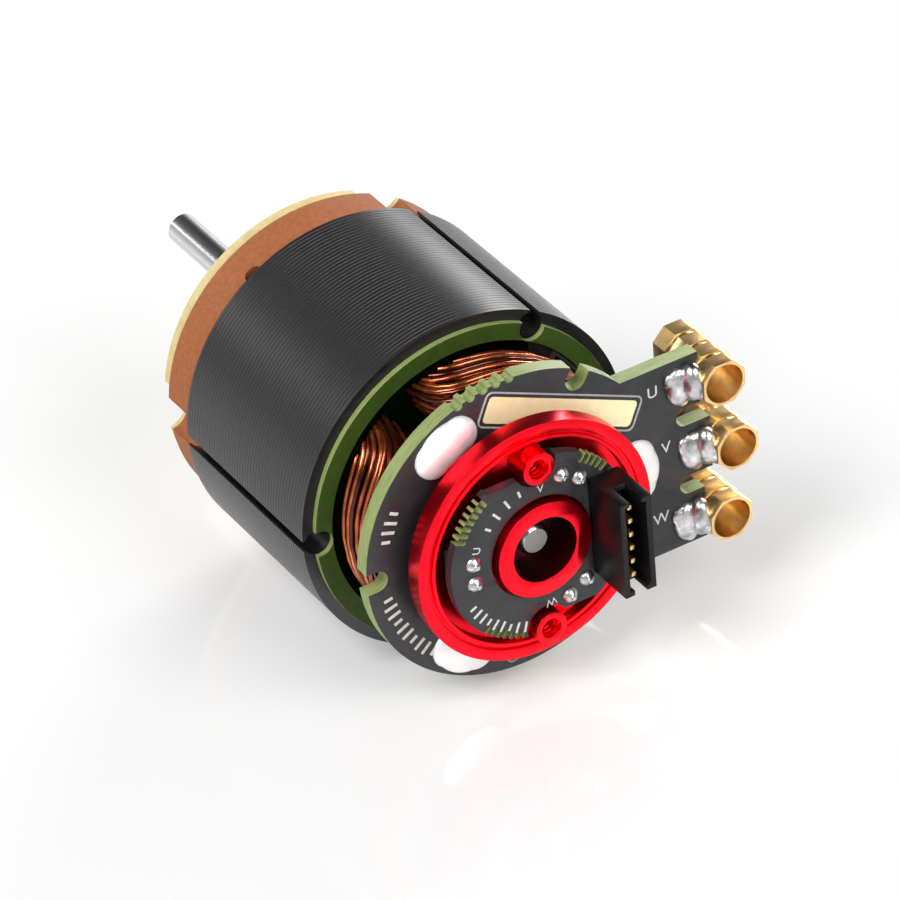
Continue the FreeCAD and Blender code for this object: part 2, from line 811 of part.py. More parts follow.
def connector_housing():
    """Open-topped rectangular shell of the sensor port."""
    front = -size("sensor_board_rear")
    rear = front - size("port_height")
    half = size("port_width") / 2
    wall = size("port_wall")
    low_x = size("port_inner_x")
    high_x = low_x + size("port_depth_x")
    shell = block("port_shell", (low_x, rear, -half), (high_x, front, half))
    lug = block("port_lug", (low_x + 0.5, front - 2.4, -half - 0.7),
                (high_x - 0.5, front, -half + 0.3))
    tools = [block("port_hollow", (low_x + wall, rear - 1, -half + wall),
                   (high_x - wall, front - size("port_floor"), half - wall))]
    slot = size("port_end_slot") / 2
    tools.append(block("port_end_slots", (pin_x() - slot, rear - 1, -half - 1),
                       (pin_x() + slot, front - size("port_floor") - 1.5, half + 1)))
    side = size("pin_size") / 2 + size("pin_gap")
    for index, z in enumerate(pin_rows()):
        tools.append(block(f"port_pin_hole_{index}", (pin_x() - side, rear - 1, z - side),
                           (pin_x() + side, front + 1, z + side)))
    return cut("connector_housing", fuse("port_body", [shell, lug]), tools)


def connector_pins():
    front = -size("sensor_board_rear") + size("sensor_board_thickness")
    rear = -size("sensor_board_rear") - size("port_height") + size("pin_recess")
    side = size("pin_size") / 2
    pins = [block(f"pin_{index}", (pin_x() - side, rear, z - side), (pin_x() + side, front, z + side))
            for index, z in enumerate(pin_rows())]
    return group("connector_pins", pins)


# -------------------------------------------------------------------------------- rotor

def rotor_shaft():
    """Ground steel shaft, chamfered at both ends, with a grinding relief ahead of the plate."""
    radius = size("shaft_radius")
    chamfer = size("shaft_chamfer")
    rear, front = -size("shaft_rear"), size("shaft_front")
    relief = size("relief_rear")
    relief_end = relief + size("relief_width")
    return turned("rotor_shaft", [
        (0, rear), (radius - chamfer, rear), (radius, rear + chamfer),
        (radius, relief), (radius - size("relief_depth"), relief),
        (radius - size("relief_depth"), relief_end), (radius, relief_end),
        (radius, front - chamfer), (radius - chamfer, front), (0, front)])


def ring_on_shaft(name, radius, bore, rear, front):
    return turned(name, [(bore, rear), (radius, rear), (radius, front), (bore, front)])


def rotor_stack():
    """Magnet, its sleeve, the balancing rings and the spacers that sit on the shaft."""
    bore = size("shaft_radius") + size("bond_gap")
    rear, front = -size("magnet_rear"), size("magnet_front")
    rear_ring = rear - size("balance_rear")
    front_ring = front + size("balance_front")
    seat_rear = -size("carrier_front")
    seat_front = size("frame_front") - size("bearing_width")
    return [
        ring_on_shaft("rotor_magnet", size("magnet_radius"), bore, rear, front),
        ring_on_shaft("magnet_sleeve", size("sleeve_radius"),
                      size("magnet_radius") + size("sleeve_gap"), rear, front),
        ring_on_shaft("balance_ring_rear", size("balance_radius"), bore, rear_ring, rear),
        ring_on_shaft("balance_ring_front", size("balance_radius"), bore, front, front_ring),
        ring_on_shaft("rear_spacer", size("spacer_radius"), bore, seat_rear, rear_ring),
        ring_on_shaft("front_spacer", size("spacer_radius"), bore, front_ring, seat_front),
    ]


# ------------------------------------------------------------------------- ball bearings

def raceway(name, rear):
    """Ring-shaped channel that the balls run in."""
    ring = doc.addObject("Part::Torus", name)
    ring.Placement = Placement(Vector(), ALONG_Y)
    bind(ring, "Radius1", size("bearing_pitch"))
    bind(ring, "Radius2", size("groove_radius"))
    bind(ring, "Placement.Base.y", rear + size("bearing_width") / 2)
    return ring


def ball_angles():
    count = int(SIZES["ball_count"])
    return [360 * index / count for index in range(count)]


def ball_ring(name, middle):
    """One sphere for each ball, evenly round the pitch circle."""
    balls = []
    for index, angle in enumerate(ball_angles()):
        share_x, share_z = place_on_ring(1, angle)
        ball = doc.addObject("Part::Sphere", f"{name}_{index}")
        bind(ball, "Radius", size("ball_radius"))
        bind(ball, "Placement.Base.x", size("bearing_pitch") * share_x)
        bind(ball, "Placement.Base.y", middle)
        bind(ball, "Placement.Base.z", size("bearing_pitch") * share_z)
        balls.append(ball)
    return balls


def cage_windows(name, middle):
    """One round hole for each ball, drilled straight out from the motor axis."""
    holes = []
    for index, angle in enumerate(ball_angles()):
        hole = doc.addObject("Part::Cylinder", f"{name}_{index}")
        hole.Placement = Placement(Vector(), Rotation(Vector(0, 0, 1), outward(angle)))
        bind(hole, "Radius", size("cage_window"))
        bind(hole, "Height", size("bearing_outer"))
        bind(hole, "Placement.Base.y", middle)
        holes.append(hole)
    return holes


def ball_bearing(end, rear):
    """A small shielded ball bearing between y = rear and rear + width."""
    front = rear + size("bearing_width")
    middle = rear + size("bearing_width") / 2
    bore = size("shaft_radius") + size("bond_gap")
    outer = cut(f"{end}_outer_ring",
                tube(f"{end}_outer_blank", size("bearing_outer"), size("outer_ring_inner"),
                     rear, front), [raceway(f"{end}_outer_race", rear)])
    inner = cut(f"{end}_inner_ring",
                tube(f"{end}_inner_blank", size("inner_ring_radius"), bore, rear, front),
                [raceway(f"{end}_inner_race", rear)])
    half = size("cage_width") / 2
    cage = cut(f"{end}_ball_cage",
               tube(f"{end}_cage_blank", size("cage_outer"), size("cage_inner"),
                    middle - half, middle + half),
               cage_windows(f"{end}_cage_window", middle))
    balls = group(f"{end}_balls", ball_ring(f"{end}_ball", middle))
    inset, thick = size("shield_inset"), size("shield_thickness")
    rim = size("outer_ring_inner") - 0.01
    shields = group(f"{end}_shields", [
        tube(f"{end}_shield_rear", rim, size("shield_inner"), rear + inset, rear + inset + thick),
        tube(f"{end}_shield_front", rim, size("shield_inner"), front - inset - thick,
             front - inset)])
    return [outer, inner, cage, balls, shields]


# -------------------------------------------------------------------------------- build

def build_nodes():
    nodes = [stator_core(), slot_liners(), rear_insulator(), front_frame(), front_plate()]
    nodes += [coil(phase, angle) for phase, angle in zip("uvw", TOOTH_ANGLES)]
    nodes += [power_board(), phase_leads(), phase_solder(), socket_solder()]
    nodes += [power_socket(phase, x, z) for phase, (x, z) in socket_places().items()]
    nodes += [bearing_carrier(), sensor_board(), hall_sensors(), sensor_solder()]
    nodes += [connector_housing(), connector_pins(), rotor_shaft()]
    nodes += rotor_stack()
    nodes += ball_bearing("front", size("frame_front") - size("bearing_width"))
    nodes += ball_bearing("rear", -size("carrier_front") - size("bearing_width"))
    return nodes


def check_and_export(nodes):
    """Stop on any failed object or bad shape, then write one file for each node."""
    doc.recompute()
    for item in doc.Objects:
        if "Invalid" in item.State or "Error" in item.State:
            raise RuntimeError(f"{item.Name} is {item.State}")
    for node in nodes:
        if node.Shape.isNull() or not node.Shape.isValid() or not node.Shape.Solids:
            raise RuntimeError(f"{node.Label} has a bad shape")
    os.makedirs("parts", exist_ok=True)
    for node in nodes:
        node.Shape.exportStep(f"parts/{node.Label}.step")
        print(f"{node.Label}: {len(node.Shape.Solids)} solids, {node.Shape.Volume:.2f} mm3")


check_and_export(build_nodes())
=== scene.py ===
"""Looks of the sensored brushless motor core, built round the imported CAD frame.

Lengths in the named values are millimetres. Row frame: the motor axis is Y, the output shaft
points to +Y, the sensor end to -Y, the power sockets to +X, and +Z is up.
"""

import json
import math
import random

import bmesh
import bpy
from mathutils import Matrix, Vector, noise

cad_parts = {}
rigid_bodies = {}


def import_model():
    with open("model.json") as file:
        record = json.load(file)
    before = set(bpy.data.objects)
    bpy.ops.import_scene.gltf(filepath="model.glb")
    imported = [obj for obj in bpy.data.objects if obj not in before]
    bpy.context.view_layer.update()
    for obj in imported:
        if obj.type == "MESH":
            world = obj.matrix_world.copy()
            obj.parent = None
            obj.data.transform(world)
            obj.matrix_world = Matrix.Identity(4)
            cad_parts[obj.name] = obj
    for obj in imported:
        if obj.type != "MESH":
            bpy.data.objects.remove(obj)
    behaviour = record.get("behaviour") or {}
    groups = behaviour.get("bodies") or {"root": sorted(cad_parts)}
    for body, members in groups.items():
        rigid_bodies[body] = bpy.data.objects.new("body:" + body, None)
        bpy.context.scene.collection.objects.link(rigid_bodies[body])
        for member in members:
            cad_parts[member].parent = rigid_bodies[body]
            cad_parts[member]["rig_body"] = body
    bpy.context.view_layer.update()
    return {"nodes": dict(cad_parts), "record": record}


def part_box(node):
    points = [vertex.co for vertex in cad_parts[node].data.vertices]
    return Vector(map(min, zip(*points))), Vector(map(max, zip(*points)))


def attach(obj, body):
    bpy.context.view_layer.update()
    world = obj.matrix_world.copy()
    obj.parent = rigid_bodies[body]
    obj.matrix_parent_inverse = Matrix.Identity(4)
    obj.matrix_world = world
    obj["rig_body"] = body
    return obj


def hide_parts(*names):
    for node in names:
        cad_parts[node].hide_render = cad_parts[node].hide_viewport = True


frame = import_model()

MM = 0.001
TOOTH_ANGLES = (60, 180, 300)
LEAD_ANGLES = (120, 0, 240)
BOSS_OFFSET = 9.0       # from the motor axis to each tapped boss of the carrier
BORE_LIMIT = 3.45       # walls nearer to the axis than this are the carrier's bore
WINDING_INNER = 9.3     # the wires keep at least this far from the axis
PRINT_LIFT = 0.02       # how far print stands off a board
LETTER_SIZE = 1.7
SENSOR_COMBS = ((127, 156), (225, 254), (35, 60))
random.seed(7)

# ------------------------------------------------------------------ sizes from the frame


def low(node):
    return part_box(node)[0] / MM


def high(node):
    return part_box(node)[1] / MM


STACK_RADIUS = high("stator_core").x
STACK_HALF = high("stator_core").y
BOARD_FACE = low("power_board").y
SENSOR_FACE = low("sensor_board").y
COIL_REAR = low("coil_v").y
COIL_FRONT = high("coil_v").y
COIL_OUTER = -low("coil_v").x
SOCKETS = {name: (low(name) + high(name)) / 2 for name in ("socket_u", "socket_v", "socket_w")}
SOCKET_RADIUS = (high("socket_v").z - low("socket_v").z) / 2


def polar(radius, angle, y=0.0):
    """A point in metres from millimetres and degrees, the angle from +X towards +Z."""
    turn = math.radians(angle)
    return Vector((radius * math.cos(turn), y, radius * math.sin(turn))) * MM


# ------------------------------------------------------------------------------ materials

def new_material(name, color, metallic=0.0, roughness=0.5, coat=0.0, coat_roughness=0.08,
                 specular=0.5):
    material = bpy.data.materials.new(name)
    material.use_nodes = True
    shader = material.node_tree.nodes["Principled BSDF"]
    shader.inputs["Base Color"].default_value = (*color, 1)
    shader.inputs["Metallic"].default_value = metallic
    shader.inputs["Roughness"].default_value = roughness
    shader.inputs["Coat Weight"].default_value = coat
    shader.inputs["Coat Roughness"].default_value = coat_roughness
    shader.inputs["Specular IOR Level"].default_value = specular
    return material


def add(material, kind, inputs=None, **settings):
    """A new node with its settings, and input sockets given by name or number."""
    item = material.node_tree.nodes.new(kind)
    for key, value in settings.items():
        setattr(item, key, value)
    for key, value in (inputs or {}).items():
        item.inputs[key].default_value = value
    return item


def link(material, start, end):
    material.node_tree.links.new(start, end)


def shader_of(material):
    return material.node_tree.nodes["Principled BSDF"]


def object_space(material, grain, stretch=(1, 1, 1)):
    """Object coordinates counted in grains of that many millimetres."""
    place = add(material, "ShaderNodeTexCoord")
    scale = add(material, "ShaderNodeMapping")
    scale.inputs["Scale"].default_value = [part / (grain * MM) for part in stretch]
    link(material, place.outputs["Object"], scale.inputs["Vector"])
    return scale.outputs["Vector"]


def ramp(material, source, stops):
    item = add(material, "ShaderNodeValToRGB")
    elements = item.color_ramp.elements
    while len(elements) < len(stops):
        elements.new(0.5)
    for element, (place, color) in zip(elements, stops):
        element.position = place
        element.color = (*color, 1)
    link(material, source, item.inputs["Fac"])
    return item.outputs["Color"]


def spread(material, source, start, end):
    item = add(material, "ShaderNodeMapRange", {"To Min": start, "To Max": end})
    link(material, source, item.inputs["Value"])
    return item.outputs["Result"]


def bump(material, source, depth):
    """Feed a height in millimetres into the shader's normal."""
    item = add(material, "ShaderNodeBump", {"Strength": 1.0, "Distance": depth * MM})
    link(material, source, item.inputs["Height"])
    link(material, item.outputs["Normal"], shader_of(material).inputs["Normal"])


def surface(name, dark, light, grain, rough, depth=0.0, stretch=(1, 1, 1), **finish):
    """A material whose colour, roughness and bump all follow one fine noise."""
    middle = [(a + b) / 2 for a, b in zip(dark, light)]
    material = new_material(name, middle, roughness=sum(rough) / 2, **finish)
    cloud = add(material, "ShaderNodeTexNoise", {"Scale": 1.0, "Detail": 5.0, "Roughness": 0.6})
    link(material, object_space(material, grain, stretch), cloud.inputs["Vector"])
    shader = shader_of(material)
    color = ramp(material, cloud.outputs["Fac"], [(0.3, dark), (0.7, light)])
    link(material, color, shader.inputs["Base Color"])
    link(material, spread(material, cloud.outputs["Fac"], *rough), shader.inputs["Roughness"])
    if depth:
        bump(material, cloud.outputs["Fac"], depth)
    return material


def turned_metal(name, color, rough, pitch, depth, **finish):
    """Metal with fine lathe rings, worked out from the distance to the motor axis."""
    material = new_material(name, color, metallic=1.0, roughness=sum(rough) / 2, **finish)
    place = add(material, "ShaderNodeTexCoord")
    split = add(material, "ShaderNodeSeparateXYZ")
    link(material, place.outputs["Object"], split.inputs["Vector"])
    flat = add(material, "ShaderNodeCombineXYZ")
    link(material, split.outputs["X"], flat.inputs["X"])
    link(material, split.outputs["Z"], flat.inputs["Z"])
    radius = add(material, "ShaderNodeVectorMath", operation="LENGTH")
    link(material, flat.outputs["Vector"], radius.inputs[0])
    total = add(material, "ShaderNodeMath", operation="ADD")
    link(material, radius.outputs["Value"], total.inputs[0])
    link(material, split.outputs["Y"], total.inputs[1])
    rings = add(material, "ShaderNodeTexNoise", {"Scale": 1 / (pitch * MM), "Detail": 2.0},
                noise_dimensions="1D")
    link(material, total.outputs["Value"], rings.inputs["W"])
    link(material, spread(material, rings.outputs["Fac"], *rough),
         shader_of(material).inputs["Roughness"])
    bump(material, rings.outputs["Fac"], depth)
    return material


def board_edge(name):
    """Glass laminate seen from its edge: thin lighter and darker plies along Y."""
    material = new_material(name, (0.3, 0.36, 0.12), roughness=0.5)
    plies = add(material, "ShaderNodeTexNoise", {"Scale": 1.0, "Detail": 4.0})
    link(material, object_space(material, 0.5, (0.3, 4, 0.3)), plies.inputs["Vector"])
    shader = shader_of(material)
    color = ramp(material, plies.outputs["Fac"],
                 [(0.3, (0.15, 0.2, 0.055)), (0.7, (0.27, 0.32, 0.11))])
    link(material, color, shader.inputs["Base Color"])
    bump(material, plies.outputs["Fac"], 0.01)
    return material


def copper_enamel(name):
    """Enamelled copper wire whose tone differs from wire to wire."""
    material = new_material(name, (0.5, 0.11, 0.03), metallic=0.9, roughness=0.26, coat=0.5,
                            coat_roughness=0.12)
    island = add(material, "ShaderNodeNewGeometry")
    color = ramp(material, island.outputs["Random Per Island"],
                 [(0.0, (0.12, 0.018, 0.006)), (0.5, (0.36, 0.066, 0.019)),
                  (1.0, (0.75, 0.19, 0.058))])
    streak = add(material, "ShaderNodeTexNoise", {"Scale": 1.0, "Detail": 3.0})
    link(material, object_space(material, 1.6), streak.inputs["Vector"])
    shade = add(material, "ShaderNodeMix", {"Factor": 1.0}, data_type="RGBA",
                blend_type="MULTIPLY")
    dirt = ramp(material, streak.outputs["Fac"], [(0.3, (0.3, 0.25, 0.25)), (0.6, (1, 1, 1))])
    link(material, color, shade.inputs["A"])
    link(material, dirt, shade.inputs["B"])
    link(material, shade.outputs["Result"], shader_of(material).inputs["Base Color"])
    return material


MATERIALS = {
    "lamination": surface("lamination", (0.007, 0.007, 0.008), (0.015, 0.015, 0.016), 0.8,
                          (0.27, 0.35), 0.003, (1, 6, 1)),
    "slot_paper": surface("slot_paper", (0.010, 0.009, 0.008), (0.022, 0.018, 0.015), 0.6,
                          (0.6, 0.8), 0.01),
    "green_face": surface("green_face", (0.028, 0.058, 0.006), (0.042, 0.08, 0.01), 0.7,
                          (0.5, 0.62), 0.006, specular=0.2),
    "board_edge": board_edge("board_edge"),
    "phenolic": surface("phenolic", (0.25, 0.075, 0.022), (0.34, 0.112, 0.036), 0.5, (0.6, 0.75),
                        0.012, specular=0.25),
    "cream_laminate": surface("cream_laminate", (0.5, 0.4, 0.17), (0.62, 0.51, 0.25), 0.8,
                              (0.45, 0.6), 0.006, specular=0.3),
    "copper_wire": copper_enamel("copper_wire"),
    "solder_mask": surface("solder_mask", (0.02, 0.02, 0.022), (0.03, 0.03, 0.032), 1.6,
                           (0.36, 0.46), 0.003, specular=0.35),
    "black_sleeve": surface("black_sleeve", (0.006, 0.005, 0.005), (0.02, 0.016, 0.014), 0.4,
                            (0.45, 0.7), 0.03),
    "solder": surface("solder", (0.3, 0.3, 0.31), (0.78, 0.78, 0.78), 1.1, (0.22, 0.36), 0.1,
                      metallic=1.0),
    # Solder for the phase domes, coloured near-white as a painted reflection of the pale floor;
    # the socket solder is the same metal, coloured darker.
    "dome_solder_painted_reflection": surface("dome_solder_painted_reflection", (0.9, 0.9, 0.9), (0.97, 0.97, 0.96), 1.4, (0.36, 0.48), 0.01,
                        metallic=0.5),
    "gold_plate": surface("gold_plate", (0.66, 0.42, 0.16), (0.84, 0.58, 0.27), 1.2, (0.26, 0.38),
                          0.006, metallic=1.0),
    "gold_pad": surface("gold_pad", (0.86, 0.81, 0.44), (0.94, 0.89, 0.54), 1.0, (0.3, 0.42),
                        0.003, metallic=0.12, coat=0.2),
    "red_anodised": turned_metal("red_anodised", (0.9, 0.008, 0.02), (0.24, 0.36), 0.12, 0.002),
    "black_plastic": surface("black_plastic", (0.002, 0.002, 0.002), (0.005, 0.005, 0.005), 0.25,
                             (0.32, 0.45), 0.006, specular=0.22),
    "bore_shadow": turned_metal("bore_shadow", (0.05, 0.002, 0.003), (0.5, 0.65), 0.12, 0.002),
    "chip_plastic": surface("chip_plastic", (0.012, 0.012, 0.012), (0.03, 0.03, 0.03), 0.2,
                            (0.5, 0.65), 0.01),
    "shaft_steel": turned_metal("shaft_steel", (0.6, 0.6, 0.6), (0.16, 0.28), 0.08, 0.001),
    "sawn_steel": surface("sawn_steel", (0.3, 0.29, 0.28), (0.5, 0.49, 0.47), 0.25, (0.5, 0.7),
                          0.05, (1, 1, 4), metallic=0.9),
    "bearing_steel": turned_metal("bearing_steel", (0.5, 0.5, 0.51), (0.12, 0.24), 0.15, 0.001),
    "magnet": surface("magnet", (0.42, 0.42, 0.43), (0.56, 0.56, 0.57), 0.8, (0.25, 0.4), 0.004,
                      metallic=1.0),
    "wound_sleeve": surface("wound_sleeve", (0.5, 0.36, 0.1), (0.75, 0.58, 0.22), 0.5, (0.35, 0.5),
                            0.012, (0.3, 5, 0.3)),
    "brass": turned_metal("brass", (0.78, 0.55, 0.22), (0.22, 0.36), 0.14, 0.003),
    "white_print": surface("white_print", (0.5, 0.5, 0.48), (0.68, 0.68, 0.66), 0.3, (0.5, 0.7),
                           0.004),
    "grey_print": surface("grey_print", (0.26, 0.27, 0.26), (0.42, 0.43, 0.42), 0.3, (0.4, 0.6),
                          0.004),
}


# ----------------------------------------------------------------------------- mesh tools

def body_of(node):
    return frame["nodes"][node]["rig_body"]


def slot_of(node):
    parts = frame["record"]["subparts"]
    return next(part["material_slot"] for part in parts if part["node"] == node)


def show(piece, body, material=None, instead_of=()):
    """Give a piece its material and its body, and hide the CAD nodes that it stands for."""
    if material:
        piece.data.materials.clear()
        piece.data.materials.append(MATERIALS[material])
    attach(piece, body)
    for node in instead_of:
        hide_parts(node)
    return piece


def make_object(name, mesh):
    piece = bpy.data.objects.new(name, mesh)
    bpy.context.scene.collection.objects.link(piece)
    return piece


def from_lists(name, points, faces, sharp=30):
    mesh = bpy.data.meshes.new(name)
    mesh.from_pydata(points, [], faces)
    return make_object(name, smooth(mesh, sharp))


def smooth(mesh, sharp=30):
    """Smooth shading, with the edges steeper than sharp degrees left crisp."""
    mesh.validate()
    mesh.shade_smooth()
    mesh.set_sharp_from_angle(angle=math.radians(sharp))
    return mesh


def settle(piece, sharp=30):
    """Apply a piece's modifiers to its mesh."""
    graph = bpy.context.evaluated_depsgraph_get()
    mesh = bpy.data.meshes.new_from_object(piece.evaluated_get(graph))
    piece.modifiers.clear()
    piece.data = smooth(mesh, sharp)
    return piece


def softened_copy(node, edge, sharp=28):
    """A copy of a CAD node with its flat faces joined and its edges broken by a small bevel."""
    mesh = frame["nodes"][node].data.copy()
    shape = bmesh.new()
    shape.from_mesh(mesh)
    bmesh.ops.remove_doubles(shape, verts=shape.verts, dist=0.0005 * MM)
    bmesh.ops.dissolve_limit(shape, angle_limit=math.radians(0.4), verts=shape.verts,
                             edges=shape.edges)
    shape.to_mesh(mesh)
    shape.free()
    if "custom_normal" in mesh.attributes:
        mesh.attributes.remove(mesh.attributes["custom_normal"])
    piece = make_object(node + "_shell", mesh)
    bevel = piece.modifiers.new("edge", "BEVEL")
    bevel.width = edge * MM
    bevel.segments = 2
    bevel.limit_method = "ANGLE"
    bevel.angle_limit = math.radians(32)
    bevel.use_clamp_overlap = True
    evened = piece.modifiers.new("evened", "WEIGHTED_NORMAL")
    evened.keep_sharp = True
    return settle(piece, sharp)


def refine(node, material, edge=0.08, sharp=28):
    """Show a softened copy in place of a CAD node."""
    piece = softened_copy(node, edge, sharp)
    return show(piece, body_of(node), material, [node])


def paint(piece, material, chosen):
    """Give the faces for which chosen is true a second material."""
    piece.data.materials.append(MATERIALS[material])
    for face in piece.data.polygons:
        if chosen(face):
            face.material_index = 1


def rim(face):
    """A wall that looks away from the motor axis direction."""
    return abs(face.normal.y) < 0.6


def end_face(face):
    """A face square to the motor axis."""
    return abs(face.normal.y) > 0.95


def bore_wall(face):
    """A wall close to the motor axis."""
    close = math.hypot(face.center.x, face.center.z) < BORE_LIMIT * MM
    return close and abs(face.normal.y) < 0.9


def comb_wall(face):
    """A rim wall between the angles of the sensor board's combs."""
    angle = math.degrees(math.atan2(face.center.z, face.center.x)) % 360
    return rim(face) and any(first < angle < last for first, last in SENSOR_COMBS)


def tubes(name, paths, radius, sides=8):
    """One mesh of round bars that follow the paths, each path a list of points in metres."""
    points, faces = [], []
    for path in paths:
        first = len(points)
        normal = None
        count = len(path)
        for index, point in enumerate(path):
            ahead = path[min(index + 1, count - 1)] - path[max(index - 1, 0)]
            ahead.normalize()
            if normal is None:
                normal = ahead.orthogonal().normalized()
            normal = (normal - ahead * normal.dot(ahead)).normalized()
            side = ahead.cross(normal)
            for step in range(sides):
                turn = 2 * math.pi * step / sides
                offset = normal * math.cos(turn) + side * math.sin(turn)
                points.append(point + offset * radius * MM)
        for index in range(count - 1):
            for step in range(sides):
                a = first + index * sides + step
                b = first + index * sides + (step + 1) % sides
                faces.append((a, b, b + sides, a + sides))
        faces.append(tuple(first + step for step in reversed(range(sides))))
        faces.append(tuple(first + (count - 1) * sides + step for step in range(sides)))
    return from_lists(name, points, faces, 50)


def lathe(name, profile, centre=(0, 0), steps=48, sharp=30):
    """A closed form turned about a line along Y through centre, from (radius, y) pairs."""
    points, faces = [], []
    for radius, y in profile:
        for step in range(steps):
            turn = 2 * math.pi * step / steps
            points.append(Vector((centre[0] + radius * math.cos(turn), y,
                                  centre[1] + radius * math.sin(turn))) * MM)
    for row in range(len(profile) - 1):
        for step in range(steps):
            a = row * steps + step
            b = row * steps + (step + 1) % steps
            faces.append((a, a + steps, b + steps, b))
    faces.append(tuple(range(steps)))
    faces.append(tuple(reversed(range((len(profile) - 1) * steps, len(profile) * steps))))
    return from_lists(name, points, faces, sharp)


def placed(centre, turn):
    """A place in millimetres, turned about Y in degrees from +X towards +Z."""
    spin = Matrix.Rotation(math.radians(-turn), 4, "Y")
    return Matrix.Translation(Vector(centre) * MM) @ spin


def box_mesh(name, boxes):
    """Small boxes in one mesh, each given as (centre, half sizes, turn about Y in degrees)."""
    shape = bmesh.new()
    for centre, half, turn in boxes:
        size = Matrix.Diagonal((*(2 * part * MM for part in half), 1))
        bmesh.ops.create_cube(shape, size=1, matrix=placed(centre, turn) @ size)
    mesh = bpy.data.meshes.new(name)
    shape.to_mesh(mesh)
    shape.free()
    return make_object(name, mesh)


def lump(name, parts, voxel=0.16, rounds=6, floor=None):
    """A smooth closed lump that joins ellipsoids given as (centre, radii, turn about Y)."""
    shape = bmesh.new()
    for centre, radii, turn in parts:
        size = Matrix.Diagonal((*(part * MM for part in radii), 1))
        bmesh.ops.create_uvsphere(shape, u_segments=32, v_segments=20, radius=1,
                                  matrix=placed(centre, turn) @ size)
    mesh = bpy.data.meshes.new(name)
    shape.to_mesh(mesh)
    shape.free()
    piece = make_object(name, mesh)
    remesh = piece.modifiers.new("join", "REMESH")
    remesh.mode = "VOXEL"
    remesh.voxel_size = voxel * MM
    relax = piece.modifiers.new("relax", "SMOOTH")
    relax.iterations = rounds
    settle(piece, 60)
    if floor is not None:
        for vertex in piece.data.vertices:
            vertex.co.y = min(vertex.co.y, floor * MM)
    return piece


# --------------------------------------------------------------------------- stator stack

def arc(radius, start, end, steps, centre=(0.0, 0.0)):
    """Points in millimetres on an arc, angles in degrees from +X towards +Z."""
    points = []
    for step in range(steps + 1):
        turn = math.radians(start + (end - start) * step / steps)
        points.append((centre[0] + radius * math.cos(turn), centre[1] + radius * math.sin(turn)))
    return points


def stack_outline(keyhole=1.35, keyhole_centre=16.1, mouth=1.1):
    """The lamination's outside: a circle with a keyhole groove behind each tooth."""
    half_mouth = math.degrees(math.asin(mouth / 2 / STACK_RADIUS))
    gap = math.degrees(math.asin(mouth / 2 / keyhole))
    outline = []
    for tooth in TOOTH_ANGLES:
        outline += arc(STACK_RADIUS, tooth - 120 + half_mouth, tooth - half_mouth, 96)
        turn = math.radians(tooth)
        centre = (keyhole_centre * math.cos(turn), keyhole_centre * math.sin(turn))
        outline += arc(keyhole, tooth - gap, tooth - 360 + gap, 20, centre)
    return outline


def slot_outline(iron=14.6, shoe=8.7, bore=7.1, tooth_width=7.5, shoe_sweep=98):
    """The lamination's inside: bore, pole shoes and the three winding slots, as one loop."""
    outline = []
    tooth_low = math.degrees(math.asin(tooth_width / 2 / shoe))
    tooth_high = math.degrees(math.asin(tooth_width / 2 / iron))
    for tooth in TOOTH_ANGLES:
        outline += arc(iron, tooth - 120 + tooth_high, tooth - tooth_high, 32)
        outline += arc(shoe, tooth - tooth_low, tooth - shoe_sweep / 2, 8)
        outline += arc(bore, tooth - shoe_sweep / 2, tooth + shoe_sweep / 2, 24)
        outline += arc(shoe, tooth + shoe_sweep / 2, tooth + tooth_low, 8)
    return outline


def stator_stack(count=45, groove=0.03, gap=0.11):
    """Laminations: each sheet stands a little proud of the narrow gap to the next one."""
    outside, inside = stack_outline(), slot_outline()
    pitch = 2 * STACK_HALF / count
    rings = []
    for sheet in range(count):
        start = -STACK_HALF + pitch * sheet
        end = start + pitch
        rings.append((start + (gap / 2 if sheet else 0), 0.0))
        rings.append((end - (gap / 2 if sheet < count - 1 else 0), 0.0))
        if sheet < count - 1:
            rings.append((end - gap / 4, groove))
            rings.append((end + gap / 4, groove))
    shape = bmesh.new()

    def ring(outline, y, inset):
        share = 1 - inset / STACK_RADIUS
        return [shape.verts.new(Vector((x * share, y, z * share)) * MM) for x, z in outline]

    def wall(first, second):
        count_round = len(first)
        for index in range(count_round):
            after = (index + 1) % count_round
            shape.faces.new((first[index], first[after], second[after], second[index]))

    shells = [ring(outside, y, inset) for y, inset in rings]
    for first, second in zip(shells, shells[1:]):
        wall(first, second)
    bores = [ring(inside, y, 0) for y in (-STACK_HALF, STACK_HALF)]
    wall(bores[1], bores[0])
    for shell, bore in ((shells[0], bores[0]), (shells[-1], bores[1])):
        edges = []
        for loop in (shell, bore):
            edges += [shape.edges.get((loop[index - 1], corner))
                      for index, corner in enumerate(loop)]
        bmesh.ops.triangle_fill(shape, edges=edges, use_beauty=True)
    bmesh.ops.recalc_face_normals(shape, faces=shape.faces)
    mesh = bpy.data.meshes.new("stator_stack")
    shape.to_mesh(mesh)
    shape.free()
    piece = make_object("stator_stack", smooth(mesh, 24))
    return show(piece, "stator", "lamination", ["stator_core"])


# ------------------------------------------------------------------------------- windings

def winding(phase, tooth, rows=7, layers=8, wire=0.27):
    """Loops of wire round one tooth, in rows outwards and layers away from the stack."""
    paths = []
    inner, outer = 9.7, COIL_OUTER - wire - 0.1
    inner_reach = STACK_HALF + 1.0
    for row in range(rows):
        radius = inner + (outer - inner) * row / (rows - 1)
        for layer in range(layers):
            share = layer / (layers - 1)
            sweep = 45 + 9 * share + random.uniform(-1.5, 0.5)
            rear = inner_reach + (-COIL_REAR - wire - inner_reach) * share
            front = inner_reach + (COIL_FRONT - wire - inner_reach) * share
            slant = random.uniform(-0.3, 0.3)
            lean = random.uniform(-0.55, 0.55)
            seed = Vector((row * 7.1, layer * 3.7, tooth))
            paths.append(loop_path(radius, tooth, sweep, rear, front, slant, lean, seed, wire))
    return tubes(f"winding_{phase}", paths, wire)


